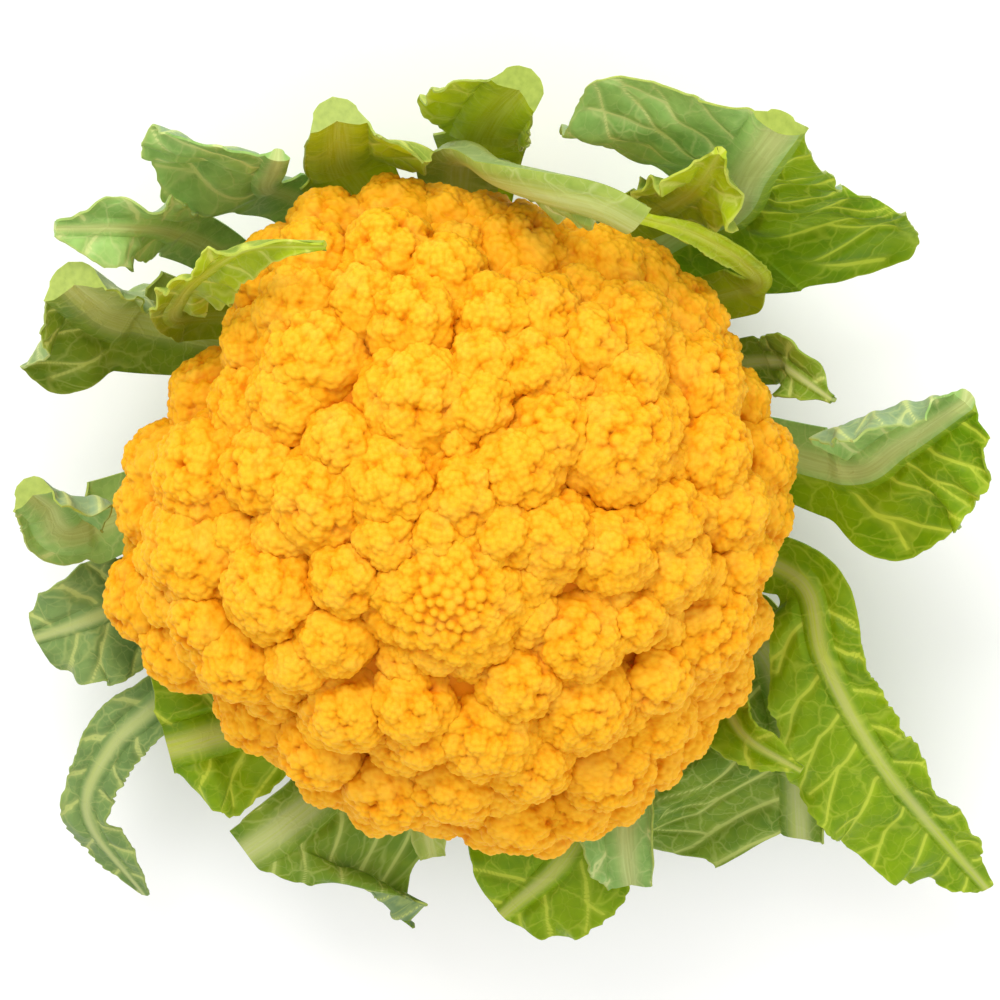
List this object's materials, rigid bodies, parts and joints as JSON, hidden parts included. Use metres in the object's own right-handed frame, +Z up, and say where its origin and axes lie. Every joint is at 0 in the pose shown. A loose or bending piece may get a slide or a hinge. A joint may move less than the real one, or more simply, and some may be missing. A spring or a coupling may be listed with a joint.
{
  "type": "yellow cauliflower with trimmed leaves",
  "caption": "Domed yellow-orange cauliflower head in spiral florets, ringed by trimmed waved green leaves, standing on its flat cut stump.",
  "frame": {"origin": "centre of the stump's flat cut face, on the surface that the head stands on", "axes": "+Z up along the head's axis from the cut face to the tip of the curd; +X to the right and +Y to the back of the head as seen from above"},
  "size_m": [0.2538, 0.2518, 0.132],
  "materials": {
    "curd": "saturated yellow-orange curd, dull, finely beaded",
    "cut_stem": "pale moist cut stem",
    "leaf_waxy": "grey-green waxy leaf",
    "leaf_dark": "dark green leaf",
    "leaf_bright": "bright green leaf",
    "leaf_lime": "yellow-green young leaf",
    "leaf_pale": "pale yellow-green leaf stalk"
  },
  "bodies": {
    "root": {"curd": "curd", "stump": "cut_stem", "leaf_right_long": "leaf_waxy", "leaf_upper_right_broad": "leaf_waxy", "leaf_upper_left_triangle": "leaf_waxy", "leaf_upper_left_fold": "leaf_waxy", "leaf_left_fold": "leaf_waxy", "leaf_bottom_left": "leaf_waxy", "leaf_bottom_stub": "leaf_waxy", "leaf_right_small": "leaf_dark", "leaf_left_dark": "leaf_dark", "leaf_lower_left_twisted": "leaf_dark", "leaf_lower_right_dark": "leaf_dark", "leaf_lower_left_lime": "leaf_bright", "leaf_bottom": "leaf_bright", "leaf_lower_right_serrated": "leaf_bright", "leaf_lower_right_long": "leaf_bright", "leaf_upper_right_crinkled": "leaf_lime", "leaf_top_stub": "leaf_lime", "leaf_top_left_stub": "leaf_lime", "leaf_left_crinkled": "leaf_lime", "leaf_upper_right_narrow": "leaf_pale", "leaf_top_tangential": "leaf_pale", "leaf_left_stub": "leaf_pale", "leaf_bottom_small": "leaf_pale"}
  },
  "joints": []
}
